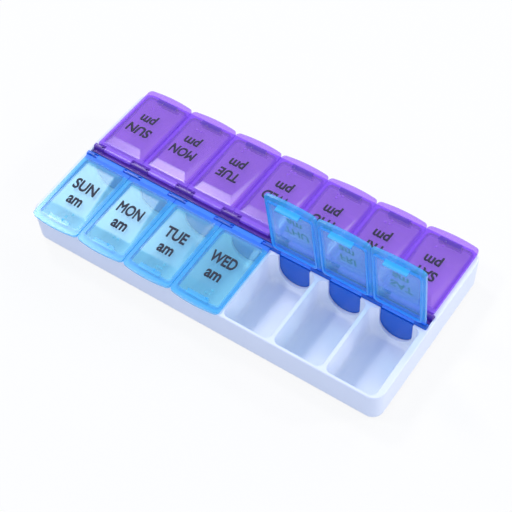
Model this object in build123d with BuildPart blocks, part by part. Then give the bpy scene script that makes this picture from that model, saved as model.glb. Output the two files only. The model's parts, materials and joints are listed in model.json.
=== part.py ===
"""Weekly AM/PM pill organizer: tray, two hinge rails and fourteen snap-in lids.

X runs along the week, -Y is the morning row, +Y is the evening row, Z is up.
"""
from build123d import *
from math import radians, tan
import os

os.makedirs("parts", exist_ok=True)

# the week
days = ["sun", "mon", "tue", "wed", "thu", "fri", "sat"]
days_left_open = ["thu", "fri", "sat"]

# tray
compartment_width = 28.0
divider_wall = 2.0
compartment_length = 43.9
compartment_corner = 3.2
compartment_draft = 1.0
floor_thickness = 2.0
floor_radius = 3.0
centre_wall = 1.2
end_wall = 3.6
front_wall = 1.6
wall_draft = 2.0
tray_corner = 7.0
base_radius = 3.0
rim_radius = 0.7
ridge_radius = 120.0
cutter_overshoot = 5.0

# cut-out in the back wall of each compartment
cutout_width = 19.0
cutout_above_floor = 1.4

# hinge line, one per row
hinge_y = 3.2
hinge_z = 22.6
barrel_radius = 1.3
barrel_length = 18.0
pin_radius = 0.7
pin_length = 1.8
pin_clearance = 0.05
pin_slot = 1.1
clip_radius = 1.45
side_clearance = 0.2
seat_clearance = 0.15
running_gap = 0.3

# hinge rail
rail_height = 3.4
tongue_thickness = 1.2
tongue_overlap = 1.0
rail_end_seat = 1.8

# lid
lid_gap = 0.4
lid_length = 50.2
lid_thickness = 1.6
lid_above_hinge = 1.4
lid_corner = 2.6
thumb_bow = 1.3
lid_rest_gap = 0.1
closed_drop = 1.5
open_angle = 84.3

# raised wedge on the lid
wedge_start = 3.5
wedge_ridge = 8.3
wedge_end = 37.3
wedge_height = 2.4
wedge_half_width = 12.0
wedge_side_run = 2.7

# underside of the lid
frame_clearance = 0.5
frame_wall = 1.0
frame_depth = 1.2
latch_width = 13.0
latch_depth = 3.4
latch_wall = 1.2

# places that follow from the sizes above
pitch = compartment_width + divider_wall
row_length = pitch * len(days)
channel_y = hinge_y + clip_radius + seat_clearance
wall_face_y = channel_y + centre_wall
compartment_y = wall_face_y + compartment_length / 2
tray_half_length = (row_length - divider_wall) / 2 + end_wall
tray_half_width = wall_face_y + compartment_length + front_wall
lid_under = lid_above_hinge - lid_thickness
roof_z = hinge_z + lid_under - lid_rest_gap
roof_slope = tan(radians(closed_drop))
ridge_z = roof_z + hinge_y * roof_slope
rim_z = ridge_z - tray_half_width * roof_slope
eaves_y = tray_half_width + cutter_overshoot
eaves_z = ridge_z - eaves_y * roof_slope
draft_run = tan(radians(wall_draft)) * ridge_z
rail_top = hinge_z - barrel_radius - running_gap
rail_bottom = rail_top - rail_height
rail_half_length = tray_half_length - end_wall + rail_end_seat
bar_width = channel_y - 2 * seat_clearance
tongue_y = channel_y - seat_clearance - tongue_thickness / 2
cutout_bottom = floor_thickness + cutout_above_floor
compartment_taper = tan(radians(compartment_draft))
floor_inset = 2 * compartment_taper * (roof_z - floor_thickness)
day_x = [(index - (len(days) - 1) / 2) * pitch for index in range(len(days))]
lid_half_width = (pitch - lid_gap) / 2
flange_start = clip_radius + running_gap
frame_width = compartment_width - 2 * frame_clearance
frame_length = compartment_length - 2 * frame_clearance
frame_corner = compartment_corner - frame_clearance
frame_middle = compartment_y - hinge_y
window_width = frame_width - 2 * frame_wall
window_length = frame_length - 2 * frame_wall
window_corner = frame_corner - frame_wall

# space inside one compartment, used as a cutter: drafted walls and a rounded floor
with BuildPart() as compartment_space:
    with BuildSketch(Plane.XY.offset(floor_thickness)):
        RectangleRounded(
            compartment_width - floor_inset,
            compartment_length - floor_inset,
            compartment_corner,
        )
    extrude(amount=ridge_z, taper=-compartment_draft)
    fillet(compartment_space.edges().group_by(Axis.Z)[0], floor_radius)

# tray: drafted outer shell cut to a shallow roof line, then compartments, channel and cut-outs
with BuildPart() as tray:
    with BuildSketch():
        RectangleRounded(
            2 * (tray_half_length - draft_run),
            2 * (tray_half_width - draft_run),
            tray_corner - draft_run,
        )
    extrude(amount=ridge_z, taper=-wall_draft)
    fillet(tray.faces().sort_by(Axis.Z)[0].edges(), base_radius)
    with BuildSketch(Plane.YZ.offset(-tray_half_length - cutter_overshoot)) as roof:
        with BuildLine():
            Polyline(
                (-eaves_y, 0),
                (-eaves_y, eaves_z),
                (0, ridge_z),
                (eaves_y, eaves_z),
                (eaves_y, 0),
                close=True,
            )
        make_face()
        fillet(roof.vertices().sort_by(Axis.Y)[-1], ridge_radius)
    extrude(amount=2 * (tray_half_length + cutter_overshoot), mode=Mode.INTERSECT)
    upper_edges = tray.edges().filter_by(lambda edge: edge.center().Z > rim_z - rim_radius)
    outer_rim = upper_edges.filter_by(
        lambda edge: abs(edge.center().X) + abs(edge.center().Y) > 2 * channel_y
    )
    fillet(outer_rim, rim_radius)
    with Locations([(x, y) for x in day_x for y in (-compartment_y, compartment_y)]):
        add(compartment_space.part, mode=Mode.SUBTRACT)
    with BuildSketch(Plane.XY.offset(floor_thickness)):
        Rectangle(2 * (tray_half_length - end_wall), 2 * channel_y)
    extrude(amount=ridge_z, mode=Mode.SUBTRACT)
    with BuildSketch(Plane.XY.offset(rail_bottom)):
        Rectangle(2 * (rail_half_length + seat_clearance), 2 * channel_y)
    extrude(amount=ridge_z, mode=Mode.SUBTRACT)
    with BuildSketch(Plane.XZ.offset(-wall_face_y - centre_wall)):
        for x in day_x:
            with Locations((x, cutout_bottom + cutout_width / 2)):
                Circle(cutout_width / 2)
            with Locations((x, cutout_bottom + cutout_width / 2)):
                Rectangle(cutout_width, ridge_z, align=(Align.CENTER, Align.MIN))
    extrude(amount=2 * (wall_face_y + centre_wall), mode=Mode.SUBTRACT)
tray.part.label = "tray"
export_step(tray.part, "parts/tray.step")

# evening hinge rail: a bar with a tongue behind each cut-out and a clip at each end of each lid
with BuildPart() as hinge_rail:
    with BuildSketch(Plane.XY.offset(rail_bottom)):
        with Locations((0, seat_clearance)):
            Rectangle(2 * rail_half_length, bar_width, align=(Align.CENTER, Align.MIN))
    extrude(amount=rail_height)
    with BuildSketch(Plane.XZ.offset(-tongue_y)):
        for x in day_x:
            with Locations((x, floor_thickness)):
                Rectangle(
                    cutout_width + 2 * tongue_overlap,
                    rail_top - floor_thickness,
                    align=(Align.CENTER, Align.MIN),
                )
    extrude(amount=tongue_thickness / 2, both=True)
    with BuildSketch(Plane.YZ.offset(-rail_half_length)):
        with Locations((hinge_y, hinge_z)):
            Circle(clip_radius)
        with Locations((hinge_y, rail_top)):
            Rectangle(2 * clip_radius, hinge_z - rail_top, align=(Align.CENTER, Align.MIN))
    extrude(amount=2 * rail_half_length)
    with BuildSketch(Plane.XY.offset(rail_top)):
        with Locations([(x, hinge_y) for x in day_x]):
            Rectangle(barrel_length + 2 * side_clearance, 2 * clip_radius)
    extrude(amount=ridge_z, mode=Mode.SUBTRACT)
    for x in day_x:
        with BuildSketch(Plane.YZ.offset(x)):
            with Locations((hinge_y, hinge_z)):
                Circle(pin_radius + pin_clearance)
                Rectangle(pin_slot, 2 * clip_radius, align=(Align.CENTER, Align.MIN))
        extrude(
            amount=barrel_length / 2 + pin_length + side_clearance,
            both=True,
            mode=Mode.SUBTRACT,
        )

with BuildPart() as pm_hinge_rail:
    add(hinge_rail.part)
pm_hinge_rail.part.label = "pm_hinge_rail"
export_step(pm_hinge_rail.part, "parts/pm_hinge_rail.step")

with BuildPart() as am_hinge_rail:
    with Locations(Location((0, 0, 0), (0, 0, 180))):
        add(hinge_rail.part)
am_hinge_rail.part.label = "am_hinge_rail"
export_step(am_hinge_rail.part, "parts/am_hinge_rail.step")

# wedge of the lid: a ramp along the lid, its two sides sloped inwards
with BuildPart() as wedge:
    with BuildSketch(Plane.YZ.offset(-wedge_half_width)):
        with BuildLine():
            Polyline(
                (wedge_start, lid_above_hinge),
                (wedge_ridge, lid_above_hinge + wedge_height),
                (wedge_end, lid_above_hinge),
                close=True,
            )
        make_face()
    extrude(amount=2 * wedge_half_width)
    with BuildSketch(Plane.XZ.offset(-wedge_end)):
        with BuildLine():
            Polyline(
                (-wedge_half_width, lid_above_hinge),
                (wedge_half_width, lid_above_hinge),
                (wedge_half_width - wedge_side_run, lid_above_hinge + wedge_height),
                (wedge_side_run - wedge_half_width, lid_above_hinge + wedge_height),
                close=True,
            )
        make_face()
    extrude(amount=wedge_end, mode=Mode.INTERSECT)

# hollow of the wedge: the same wedge one lid thickness lower, kept inside the sealing frame
with BuildPart() as wedge_hollow:
    with Locations((0, 0, -lid_thickness)):
        add(wedge.part)
    with BuildSketch(Plane.XY.offset(lid_under)):
        with Locations((0, frame_middle)):
            RectangleRounded(window_width, window_length, window_corner)
    extrude(amount=wedge_height, mode=Mode.INTERSECT)

# lid moulding in its own frame: hinge axis on X, thumb end towards +Y
with BuildPart() as lid_moulding:
    with BuildSketch(Plane.XY.offset(lid_under)) as flange_outline:
        with BuildLine():
            Polyline(
                (-lid_half_width, lid_length - thumb_bow),
                (-lid_half_width, flange_start),
                (lid_half_width, flange_start),
                (lid_half_width, lid_length - thumb_bow),
            )
            ThreePointArc(
                (lid_half_width, lid_length - thumb_bow),
                (0, lid_length),
                (-lid_half_width, lid_length - thumb_bow),
            )
        make_face()
        fillet(flange_outline.vertices().group_by(Axis.Y)[-1], lid_corner)
    extrude(amount=lid_thickness)
    add(wedge.part)
    add(wedge_hollow.part, mode=Mode.SUBTRACT)
    with BuildSketch(Plane.XY.offset(lid_under)):
        with Locations((0, frame_middle)):
            RectangleRounded(frame_width, frame_length, frame_corner)
            RectangleRounded(window_width, window_length, window_corner, mode=Mode.SUBTRACT)
    extrude(amount=-frame_depth)
    with BuildSketch(Plane.XY.offset(lid_under)):
        with Locations((0, frame_middle + frame_length / 2)):
            Rectangle(latch_width, latch_wall, align=(Align.CENTER, Align.MAX))
    extrude(amount=-latch_depth)
    with BuildSketch(Plane.YZ):
        Circle(barrel_radius)
        with Locations((0, lid_under)):
            Rectangle(flange_start, barrel_radius - lid_under, align=(Align.MIN, Align.MIN))
    extrude(amount=barrel_length / 2, both=True)
    with BuildSketch(Plane.YZ):
        Circle(pin_radius)
    extrude(amount=barrel_length / 2 + pin_length, both=True)

# the fourteen lids, each hinged on its own rail
for row, side, turn in (("am", -1, 180), ("pm", 1, 0)):
    for day, x in zip(days, day_x):
        lift = open_angle if row == "am" and day in days_left_open else -closed_drop
        with BuildPart() as lid:
            with Locations(Location((x, side * hinge_y, hinge_z), (side * lift, 0, turn))):
                add(lid_moulding.part)
        lid.part.label = f"{row}_lid_{day}"
        export_step(lid.part, f"parts/{row}_lid_{day}.step")
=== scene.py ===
import json
from math import atan2, cos, pi, radians, sin, tan

import bmesh
import bpy
from mathutils import Matrix, Vector


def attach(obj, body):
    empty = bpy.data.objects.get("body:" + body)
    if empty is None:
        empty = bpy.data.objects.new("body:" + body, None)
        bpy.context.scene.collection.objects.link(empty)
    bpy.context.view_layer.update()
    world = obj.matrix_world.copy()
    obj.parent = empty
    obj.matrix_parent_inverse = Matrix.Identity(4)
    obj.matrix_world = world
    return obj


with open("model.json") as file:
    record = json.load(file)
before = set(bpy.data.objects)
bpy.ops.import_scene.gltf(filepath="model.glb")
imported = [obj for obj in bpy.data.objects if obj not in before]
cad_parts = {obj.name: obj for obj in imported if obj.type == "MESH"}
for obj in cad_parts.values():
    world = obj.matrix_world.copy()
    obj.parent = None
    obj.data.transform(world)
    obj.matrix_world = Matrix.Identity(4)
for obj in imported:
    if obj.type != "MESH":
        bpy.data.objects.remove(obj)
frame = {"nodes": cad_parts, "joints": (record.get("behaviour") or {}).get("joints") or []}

scene = bpy.context.scene
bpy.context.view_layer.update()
jointOf = {joint["child"]: joint for joint in frame["joints"]}
mm = 0.001
white = (1, 1, 1, 1)


# camera: fitted to the lids, the rim and the base in the photograph
photoView = {
    "target": Vector((11.6, -12.9, 24.0)) * mm,
    "distance": 673.3 * mm,
    "azimuth": radians(37.61),
    "elevation": radians(53.35),
    "roll": radians(-4.15),
    "focalPixels": 1324.5,
    "framePixels": 512,
    "sensorWidth": 36,
    "clipStart": 10 * mm,
}


def makeCamera(view):
    away = Vector((
        sin(view["azimuth"]) * cos(view["elevation"]),
        -cos(view["azimuth"]) * cos(view["elevation"]),
        sin(view["elevation"]),
    ))
    right = Vector((0, 0, 1)).cross(away).normalized()
    up = away.cross(right)
    turn = Matrix((right, up, away)).transposed() @ Matrix.Rotation(view["roll"], 3, "Z")
    lens = bpy.data.cameras.new("photoCamera")
    lens.sensor_width = view["sensorWidth"]
    lens.lens = view["focalPixels"] * view["sensorWidth"] / view["framePixels"]
    lens.clip_start = view["clipStart"]
    holder = bpy.data.objects.new("photoCamera", lens)
    holder.matrix_world = Matrix.Translation(view["target"] + away * view["distance"]) @ turn.to_4x4()
    scene.collection.objects.link(holder)
    scene.camera = holder


makeCamera(photoView)
print("camera ready")


# lid frame: hinge axis on X, thumb end towards +Y, in the sizes of the CAD lid
lid = {
    "closedDrop": radians(1.5),
    "above": 1.4 * mm,
    "wedgeRidge": 8.3 * mm,
    "wedgeEnd": 37.3 * mm,
    "wedgeHeight": 2.4 * mm,
}
lid["slope"] = atan2(lid["wedgeHeight"], lid["wedgeEnd"] - lid["wedgeRidge"])


def lidPlace(joint):
    # an open lid's travel runs back from zero, so its range tells how far up it rests
    lift = -lid["closedDrop"] - radians(joint["range_deg"][0])
    turn = Matrix.Rotation(0 if joint["axis"][0] > 0 else pi, 4, "Z")
    return Matrix.Translation(joint["pos_m"]) @ turn @ Matrix.Rotation(lift, 4, "X")


def lidTop(along):
    # height of the lid's upper face, a distance along from the hinge
    if along >= lid["wedgeEnd"]:
        return lid["above"]
    return lid["above"] + (lid["wedgeEnd"] - along) * tan(lid["slope"])


# plastics: how a moulding's surface feels, then the colours of each
solidSurface = {"grainScale": 900.0, "grainStrength": 0.12, "edgeRadius": 0.6 * mm, "cloudScale": 14.0}
clearSurface = {
    "grainScale": 700.0, "grainStrength": 0.08, "edgeRadius": 0.5 * mm, "cloudScale": 30.0,
    "facingBlend": 0.3, "cloudShade": 0.92, "specular": 0.6, "coat": 0.6,
}
anySurface = {
    "grainDetail": 3.0, "grainHeight": 0.1 * mm, "edgeSamples": 6,
    "cloudDetail": 2.0, "cloudRange": (0.3, 0.7),
}
trayPlastic = {"pale": (0.93, 0.94, 0.965), "deep": (0.91, 0.925, 0.955), "roughness": 0.32}
inkPrint = {"pale": (0.020, 0.022, 0.055), "deep": (0.012, 0.012, 0.035), "roughness": 0.6}
blueLidPlastic = {
    "tint": (0.86, 0.985, 1.0), "body": (0.40, 0.92, 1.0), "leastSolid": 0.13, "edgeSolid": 0.46,
    "roughness": 0.16, "depthColour": (0.094, 0.885, 0.998), "depthDensity": 105.0,
    "borderBody": (0.07, 0.60, 1.0), "borderSolid": 0.23,
    "ribBody": (0.03, 0.42, 1.0), "ribSolid": 0.22,
    # latch colour: the latch bar's own deeper tint, plus painted shade where the latch lies under the top
    # face
    "latchBody": (0.05, 0.60, 1.0), "latchSolid": 0.24,
    "hingeBody": (0.01, 0.25, 1.0), "hingeSolid": 0.22,
}
purpleLidPlastic = {
    "tint": (0.92, 0.80, 0.985), "body": (0.66, 0.30, 1.0), "leastSolid": 0.24, "edgeSolid": 0.50,
    "roughness": 0.18, "depthColour": (0.50, 0.072, 0.889), "depthDensity": 148.0,
    "borderBody": (0.42, 0.12, 1.0), "borderSolid": 0.08,
    "ribBody": (0.25, 0.06, 0.75), "ribSolid": 0.12,
    # latch colour: the latch bar's own deeper tint, plus painted shade where the latch lies under the top
    # face
    "latchBody": (0.10, 0.015, 0.44), "latchSolid": 0.50,
    "hingeBody": (0.42, 0.16, 0.95), "hingeSolid": 0.08,
}
blueRailPlastic = {
    "tint": (0.22, 0.68, 0.98), "body": (0.005, 0.21, 0.92), "leastSolid": 0.45, "edgeSolid": 0.85,
    "roughness": 0.22, "depthColour": (0.05, 0.65, 0.96), "depthDensity": 350.0,
}
purpleRailPlastic = {
    "tint": (0.5, 0.3, 0.85), "body": (0.16, 0.035, 0.50), "leastSolid": 0.65, "edgeSolid": 0.95,
    "roughness": 0.22, "depthColour": (0.45, 0.15, 0.85), "depthDensity": 500.0,
}


def newMaterial(name):
    material = bpy.data.materials.new(name)
    material.use_nodes = True
    nodes = material.node_tree.nodes
    return material, nodes, material.node_tree.links, nodes["Principled BSDF"]


def addNode(nodes, kind, **settings):
    node = nodes.new(kind)
    for key, value in settings.items():
        if key in node.inputs:
            node.inputs[key].default_value = value
        else:
            setattr(node, key, value)
    return node


def mixColours(nodes, links, share, first, second):
    # inputs 6 and 7 are the two colours of a colour mix, and output 2 is what it gives
    mix = addNode(nodes, "ShaderNodeMix", data_type="RGBA")
    links.new(share, mix.inputs["Factor"])
    for index, colour in ((6, first), (7, second)):
        if isinstance(colour, tuple):
            mix.inputs[index].default_value = (*colour, 1)
        else:
            links.new(colour, mix.inputs[index])
    return mix.outputs[2]


def remap(nodes, links, value, edges, low, high):
    # low before the first edge, high past the second
    node = addNode(nodes, "ShaderNodeMapRange")
    for name, number in zip(("From Min", "From Max", "To Min", "To Max"), (*edges, low, high)):
        node.inputs[name].default_value = number
    links.new(value, node.inputs["Value"])
    return node.outputs["Result"]


def maths(nodes, links, operation, first, second=0.0):
    node = addNode(nodes, "ShaderNodeMath", operation=operation)
    for index, value in enumerate((first, second)):
        if isinstance(value, (int, float)):
            node.inputs[index].default_value = value
        else:
            links.new(value, node.inputs[index])
    return node.outputs[0]


def mouldedSurface(nodes, links, shader, surface):
    # fine moulding grain over softened edges, and a slow cloud for the colour
    place = addNode(nodes, "ShaderNodeTexCoord")
    grain = addNode(nodes, "ShaderNodeTexNoise",
                    Scale=surface["grainScale"], Detail=anySurface["grainDetail"])
    bump = addNode(nodes, "ShaderNodeBump",
                   Strength=surface["grainStrength"], Distance=anySurface["grainHeight"])
    soft = addNode(nodes, "ShaderNodeBevel",
                   samples=anySurface["edgeSamples"], Radius=surface["edgeRadius"])
    cloud = addNode(nodes, "ShaderNodeTexNoise",
                    Scale=surface["cloudScale"], Detail=anySurface["cloudDetail"])
    links.new(place.outputs["Object"], grain.inputs["Vector"])
    links.new(place.outputs["Object"], cloud.inputs["Vector"])
    links.new(grain.outputs["Fac"], bump.inputs["Height"])
    links.new(soft.outputs["Normal"], bump.inputs["Normal"])
    links.new(bump.outputs["Normal"], shader.inputs["Normal"])
    return place, remap(nodes, links, cloud.outputs["Fac"], anySurface["cloudRange"], 0.0, 1.0)


def opaquePlastic(name, plastic):
    material, nodes, links, shader = newMaterial(name)
    cloud = mouldedSurface(nodes, links, shader, solidSurface)[1]
    colour = mixColours(nodes, links, cloud, plastic["deep"], plastic["pale"])
    links.new(colour, shader.inputs["Base Color"])
    shader.inputs["Roughness"].default_value = plastic["roughness"]
    return material


# zones of a lid in its own frame: the window, and where each zone's edge fades
window = {
    "pitch": 30.0 * mm,
    "width": 25.0 * mm,
    "length": 40.9 * mm,
    "corner": 1.7 * mm,
    "middle": 24.75 * mm,
}
zoneEdges = {
    "window": (window["corner"] - 0.1 * mm, window["corner"] + 0.1 * mm),
    "underside": (-0.35 * mm, -0.25 * mm),
    "barrel": (1.6 * mm, 1.75 * mm),
    "latchSide": (6.45 * mm, 6.55 * mm),
    "latchStart": (43.35 * mm, 43.45 * mm),
    "latchEnd": (46.2 * mm, 46.3 * mm),
    "hinge": (4.0 * mm, 4.4 * mm),
}


def pastWindow(nodes, links, across, along):
    # distance from the centres of the window's corner arcs, so its edge is at the corner radius
    fromMiddle = maths(nodes, links, "SUBTRACT", along, window["middle"])
    pastSide = maths(nodes, links, "SUBTRACT", across, window["width"] / 2 - window["corner"])
    pastEnd = maths(nodes, links, "SUBTRACT", maths(nodes, links, "ABSOLUTE", fromMiddle),
                    window["length"] / 2 - window["corner"])
    past = addNode(nodes, "ShaderNodeCombineXYZ")
    links.new(maths(nodes, links, "MAXIMUM", pastSide), past.inputs["X"])
    links.new(maths(nodes, links, "MAXIMUM", pastEnd), past.inputs["Y"])
    reach = addNode(nodes, "ShaderNodeVectorMath", operation="LENGTH")
    links.new(past.outputs["Vector"], reach.inputs[0])
    return reach.outputs["Value"]


def lidZones(nodes, links, place, joint):
    # border round the window, ribs and barrel, latch bar with painted shade of it on the top face above,
    # and hinge strip
    back = lidPlace(joint).inverted()
    own = addNode(nodes, "ShaderNodeMapping", Location=back.translation, Rotation=back.to_euler("XYZ"))
    apart = addNode(nodes, "ShaderNodeSeparateXYZ")
    links.new(place.outputs["Object"], own.inputs["Vector"])
    links.new(own.outputs["Vector"], apart.inputs["Vector"])
    across = maths(nodes, links, "PINGPONG", apart.outputs["X"], window["pitch"] / 2)
    along = apart.outputs["Y"]

    def fadeIn(value, edge):
        return remap(nodes, links, value, zoneEdges[edge], 0.0, 1.0)

    def fadeOut(value, edge):
        return remap(nodes, links, value, zoneEdges[edge], 1.0, 0.0)

    under = fadeOut(apart.outputs["Z"], "underside")
    latchLength = maths(nodes, links, "MULTIPLY", fadeIn(along, "latchStart"), fadeOut(along, "latchEnd"))
    return {
        "border": fadeIn(pastWindow(nodes, links, across, along), "window"),
        "rib": maths(nodes, links, "MAXIMUM", under, fadeOut(along, "barrel")),
        # the latch zone has no height limit, so on the top face it is painted shade of the latch below
        "latch": maths(nodes, links, "MULTIPLY", fadeOut(across, "latchSide"), latchLength),
        "hinge": fadeOut(along, "hinge"),
    }


def tintedPlastic(name, plastic, joint=None):
    # clear tinted plastic: deeper where it is thick, more solid where it is seen edge on
    material, nodes, links, shader = newMaterial(name)
    place, cloud = mouldedSurface(nodes, links, shader, clearSurface)
    facing = addNode(nodes, "ShaderNodeLayerWeight", Blend=clearSurface["facingBlend"])
    solid = remap(nodes, links, facing.outputs["Facing"], (0.0, 1.0),
                  plastic["leastSolid"], plastic["edgeSolid"])
    shaded = tuple(clearSurface["cloudShade"] * value for value in plastic["body"])
    body = mixColours(nodes, links, cloud, shaded, plastic["body"])
    if joint:
        for zone, share in lidZones(nodes, links, place, joint).items():
            body = mixColours(nodes, links, share, body, plastic[zone + "Body"])
            extra = maths(nodes, links, "MULTIPLY", share, plastic[zone + "Solid"])
            solid = maths(nodes, links, "ADD", solid, extra)
    links.new(body, shader.inputs["Base Color"])
    shader.inputs["Roughness"].default_value = plastic["roughness"]
    shader.inputs["Specular IOR Level"].default_value = clearSurface["specular"]
    shader.inputs["Coat Weight"].default_value = clearSurface["coat"]
    shader.inputs["Coat Roughness"].default_value = plastic["roughness"]
    clear = addNode(nodes, "ShaderNodeBsdfTransparent", Color=(*plastic["tint"], 1))
    both = addNode(nodes, "ShaderNodeMixShader")
    depth = addNode(nodes, "ShaderNodeVolumeAbsorption",
                    Color=(*plastic["depthColour"], 1), Density=plastic["depthDensity"])
    links.new(solid, both.inputs["Fac"])
    links.new(clear.outputs["BSDF"], both.inputs[1])
    links.new(shader.outputs["BSDF"], both.inputs[2])
    links.new(both.outputs["Shader"], nodes["Material Output"].inputs["Surface"])
    links.new(depth.outputs["Volume"], nodes["Material Output"].inputs["Volume"])
    return material


# lids of one colour that rest alike share a material, because their zones line up at the lid pitch
whiteTray = opaquePlastic("whiteTray", trayPlastic)
legendInk = opaquePlastic("legendInk", inkPrint)
blueLid = tintedPlastic("blueLid", blueLidPlastic, jointOf["am_lid_wed"])
blueLidOpen = tintedPlastic("blueLidOpen", blueLidPlastic, jointOf["am_lid_thu"])
purpleLid = tintedPlastic("purpleLid", purpleLidPlastic, jointOf["pm_lid_wed"])
blueRail = tintedPlastic("blueRail", blueRailPlastic)
purpleRail = tintedPlastic("purpleRail", purpleRailPlastic)


def finishOf(node):
    if node == "tray":
        return whiteTray
    if node.endswith("hinge_rail"):
        return blueRail if node.startswith("am") else purpleRail
    if node.startswith("pm"):
        return purpleLid
    return blueLidOpen if jointOf[node]["range_deg"][0] < 0 else blueLid


for nodeName, nodeObject in frame["nodes"].items():
    for materialSlot in nodeObject.material_slots:
        materialSlot.material = finishOf(nodeName)
print("plastics ready")


def addToLid(piece, body):
    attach(piece, body)


# printed day and time of day on each lid
legend = {
    "capHeight": 6.2 * mm,
    "smallHeight": 4.2 * mm,
    "dayShare": {"sun": 0.85, "mon": 0.73, "tue": 0.79, "wed": 0.73, "thu": 0.78, "fri": 0.80, "sat": 0.80},
    "timeShare": 0.82,
    "thickness": 0.05 * mm,
    "bold": 0.031,         # these three are in the stock font's own unit: stroke, capital, small letter
    "capShare": 0.682,
    "smallShare": 0.449,
    "curveSteps": 4,
    "am": {"dayAlong": 24.2 * mm, "dayAcross": 0.0, "timeAlong": 33.3 * mm, "timeAcross": 0.0},
    "pm": {"dayAlong": 22.9 * mm, "dayAcross": -0.9 * mm, "timeAlong": 31.6 * mm, "timeAcross": -1.6 * mm},
}


def wordMesh(word, letterSize, widthShare):
    # the bevel makes the strokes bolder, and the word is then flattened to a print
    curve = bpy.data.curves.new("word", "FONT")
    curve.body = word
    curve.align_x = "CENTER"
    curve.size = 1.0
    curve.bevel_depth = legend["bold"]
    curve.bevel_resolution = 0
    curve.resolution_u = legend["curveSteps"]
    holder = bpy.data.objects.new("word", curve)
    scene.collection.objects.link(holder)
    bpy.context.view_layer.update()
    mesh = bpy.data.meshes.new_from_object(holder.evaluated_get(bpy.context.evaluated_depsgraph_get()))
    bpy.data.objects.remove(holder)
    flat = legend["thickness"] / (2 * legend["bold"])
    mesh.transform(Matrix.Diagonal((letterSize * widthShare, letterSize, flat, 1)))
    return mesh


def addLegend(joint, body):
    row, day = body.split("_lid_")
    spot = legend[row]
    words = (
        (day.upper(), spot["dayAlong"], spot["dayAcross"],
         legend["capHeight"] / legend["capShare"], legend["dayShare"][day]),
        (row, spot["timeAlong"], spot["timeAcross"],
         legend["smallHeight"] / legend["smallShare"], legend["timeShare"]),
    )
    merged = bmesh.new()
    for word, along, across, letterSize, widthShare in words:
        mesh = wordMesh(word, letterSize, widthShare)
        top = lidTop(along) + legend["thickness"]
        place = Matrix.Translation((across, along, top)) @ Matrix.Rotation(-lid["slope"], 4, "X")
        mesh.transform(lidPlace(joint) @ place @ Matrix.Rotation(pi, 4, "Z"))
        merged.from_mesh(mesh)
    result = bpy.data.meshes.new(f"legend_{body}")
    merged.to_mesh(result)
    merged.free()
    result.materials.append(legendInk)
    piece = bpy.data.objects.new(f"legend_{body}", result)
    scene.collection.objects.link(piece)
    addToLid(piece, body)


for body, joint in jointOf.items():
    addLegend(joint, body)
print("legends ready")


# raised braille initial of the day near the thumb end, dots numbered down each column
braille = {
    "cellAcross": 3.55 * mm,
    "cellAlong": 41.2 * mm,
    "spacing": 2.6 * mm,
    "dotRadius": 0.8 * mm,
    "dotHeight": 0.35 * mm,
    "columns": 2,
    "lines": 3,
    "dots": {"s": (2, 3, 4), "m": (1, 3, 4), "t": (2, 3, 4, 5), "w": (2, 4, 5, 6), "f": (1, 2, 4)},
    "segments": 16,
    "rings": 8,
}


def dotTree(finish):
    tree = bpy.data.node_groups.new("raisedDots", "GeometryNodeTree")
    tree.interface.new_socket("Geometry", in_out="INPUT", socket_type="NodeSocketGeometry")
    tree.interface.new_socket("Dot Radius", in_out="INPUT", socket_type="NodeSocketFloat")
    tree.interface.new_socket("Dot Height", in_out="INPUT", socket_type="NodeSocketFloat")
    tree.interface.new_socket("Geometry", in_out="OUTPUT", socket_type="NodeSocketGeometry")
    nodes, links = tree.nodes, tree.links
    given = nodes.new("NodeGroupInput")
    made = nodes.new("NodeGroupOutput")
    ball = addNode(nodes, "GeometryNodeMeshUVSphere",
                   Segments=braille["segments"], Rings=braille["rings"], Radius=1.0)
    size = nodes.new("ShaderNodeCombineXYZ")
    scatter = nodes.new("GeometryNodeInstanceOnPoints")
    real = nodes.new("GeometryNodeRealizeInstances")
    paint = addNode(nodes, "GeometryNodeSetMaterial", Material=finish)
    links.new(given.outputs["Dot Radius"], size.inputs["X"])
    links.new(given.outputs["Dot Radius"], size.inputs["Y"])
    links.new(given.outputs["Dot Height"], size.inputs["Z"])
    links.new(given.outputs["Geometry"], scatter.inputs["Points"])
    links.new(ball.outputs["Mesh"], scatter.inputs["Instance"])
    links.new(size.outputs["Vector"], scatter.inputs["Scale"])
    links.new(scatter.outputs["Instances"], real.inputs["Geometry"])
    links.new(real.outputs["Geometry"], paint.inputs["Geometry"])
    links.new(paint.outputs["Geometry"], made.inputs["Geometry"])
    return tree


def dotPlaces(initial):
    places = []
    for dot in braille["dots"][initial]:
        column, line = divmod(dot - 1, braille["lines"])
        across = -braille["cellAcross"] - (column - (braille["columns"] - 1) / 2) * braille["spacing"]
        along = braille["cellAlong"] + (line - (braille["lines"] - 1) / 2) * braille["spacing"]
        places.append((across, along, lidTop(along)))
    return places


def addBraille(joint, body, tree):
    day = body.split("_lid_")[1]
    seed = bpy.data.meshes.new("dotPlaces")
    seed.from_pydata(dotPlaces(day[0]), [], [])
    piece = bpy.data.objects.new(f"braille_{body}", seed)
    scene.collection.objects.link(piece)
    maker = piece.modifiers.new("raisedDots", "NODES")
    maker.node_group = tree
    sizes = {"Dot Radius": braille["dotRadius"], "Dot Height": braille["dotHeight"]}
    for socket in tree.interface.items_tree:
        if socket.in_out == "INPUT" and socket.name in sizes:
            maker[socket.identifier] = sizes[socket.name]
    bpy.context.view_layer.update()
    mesh = bpy.data.meshes.new_from_object(piece.evaluated_get(bpy.context.evaluated_depsgraph_get()))
    piece.modifiers.remove(maker)
    mesh.transform(lidPlace(joint))
    piece.data = mesh
    for face in mesh.polygons:
        face.use_smooth = True
    addToLid(piece, body)


dotTrees = {finish.name: dotTree(finish) for finish in (blueLid, blueLidOpen, purpleLid)}
for body, joint in jointOf.items():
    addBraille(joint, body, dotTrees[finishOf(body).name])
print("braille ready")


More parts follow.
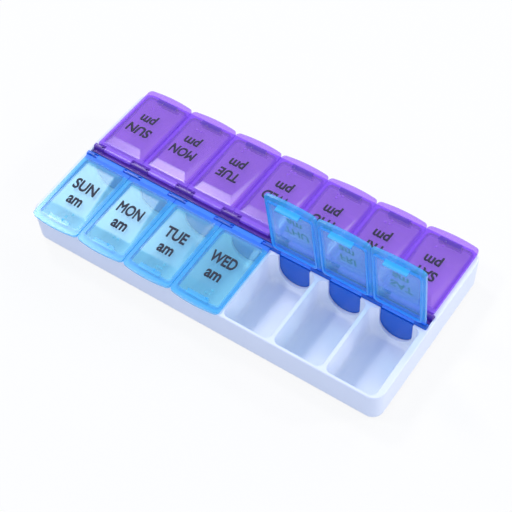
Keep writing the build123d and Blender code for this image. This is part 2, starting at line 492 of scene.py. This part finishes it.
# floor and light
studio = {
    "floorColour": (0.46, 0.51, 0.52),
    "floorRoughness": 0.9,
    "floorReach": 6.0,
    "paperShare": 0.84,
    "shadowColour": (0.98, 0.93, 0.78),
    "roomColour": (0.455, 0.565, 0.95),
    "roomStrength": 0.86,
    "lampDistance": 1.6,
}
# each lamp's note says what it lights or is mirrored in
lamps = {
    "keyLamp": {"towards": (0.754, 0.473, 0.457), "size": (0.18, 0.18), "power": 4.8},      # right sides
    "fillLamp": {"towards": (0.80, -0.45, 0.40), "size": (0.8, 0.8), "power": 5.4},         # right walls
    "topLamp": {"towards": (-0.446, -0.280, 0.850), "size": (0.32, 0.16), "power": 4.2},    # hinge slopes
    "veilLamp": {"towards": (-0.545, 0.25, 0.852), "size": (0.24, 0.33), "power": 5.6},     # first lids
    "backLamp": {"towards": (0.10, 0.85, 0.52), "size": (0.8, 0.8), "power": 3.2},          # open lids
}


def seenShare(nodes, links):
    # one for camera, mirror and clear rays, which see plain white paper
    path = addNode(nodes, "ShaderNodeLightPath")
    seen = maths(nodes, links, "MAXIMUM", path.outputs["Is Camera Ray"], path.outputs["Is Glossy Ray"])
    return maths(nodes, links, "MAXIMUM", seen, path.outputs["Is Transmission Ray"])


def addStage():
    # white paper with the object's shadow for the camera, a darker tone for the light it throws back
    material, nodes, links, shader = newMaterial("paleFloor")
    shader.inputs["Base Color"].default_value = (*studio["floorColour"], 1)
    shader.inputs["Roughness"].default_value = studio["floorRoughness"]
    paper = addNode(nodes, "ShaderNodeEmission", Color=white, Strength=1.0)
    shadow = addNode(nodes, "ShaderNodeBsdfDiffuse", Color=(*studio["shadowColour"], 1))
    seen = addNode(nodes, "ShaderNodeMixShader", Fac=studio["paperShare"])
    both = addNode(nodes, "ShaderNodeMixShader")
    links.new(shadow.outputs["BSDF"], seen.inputs[1])
    links.new(paper.outputs["Emission"], seen.inputs[2])
    links.new(seenShare(nodes, links), both.inputs["Fac"])
    links.new(shader.outputs["BSDF"], both.inputs[1])
    links.new(seen.outputs["Shader"], both.inputs[2])
    links.new(both.outputs["Shader"], nodes["Material Output"].inputs["Surface"])
    mesh = bpy.data.meshes.new("floor")
    reach = studio["floorReach"]
    corners = [(-reach, -reach, 0), (reach, -reach, 0), (reach, reach, 0), (-reach, reach, 0)]
    mesh.from_pydata(corners, [], [(0, 1, 2, 3)])
    mesh.materials.append(material)
    floor = bpy.data.objects.new("floor", mesh)
    scene.collection.objects.link(floor)


def addLamp(name, towards, size, power):
    lamp = bpy.data.lights.new(name, "AREA")
    lamp.shape = "RECTANGLE"
    lamp.size, lamp.size_y = size
    lamp.energy = power
    holder = bpy.data.objects.new(name, lamp)
    holder.location = Vector(towards) * studio["lampDistance"]
    holder.rotation_euler = (-holder.location).to_track_quat("-Z", "Y").to_euler()
    scene.collection.objects.link(holder)


def addWorld():
    world = bpy.data.worlds.new("studio")
    world.use_nodes = True
    scene.world = world
    nodes = world.node_tree.nodes
    links = world.node_tree.links
    room = nodes["Background"]
    room.inputs["Color"].default_value = (*studio["roomColour"], 1)
    room.inputs["Strength"].default_value = studio["roomStrength"]
    paper = addNode(nodes, "ShaderNodeBackground", Color=white, Strength=1.0)
    both = addNode(nodes, "ShaderNodeMixShader")
    links.new(seenShare(nodes, links), both.inputs["Fac"])
    links.new(room.outputs["Background"], both.inputs[1])
    links.new(paper.outputs["Background"], both.inputs[2])
    links.new(both.outputs["Shader"], nodes["World Output"].inputs["Surface"])


addStage()
for lampName, lamp in lamps.items():
    addLamp(lampName, lamp["towards"], lamp["size"], lamp["power"])
addWorld()
scene.view_settings.view_transform = "Standard"
print("stage ready")
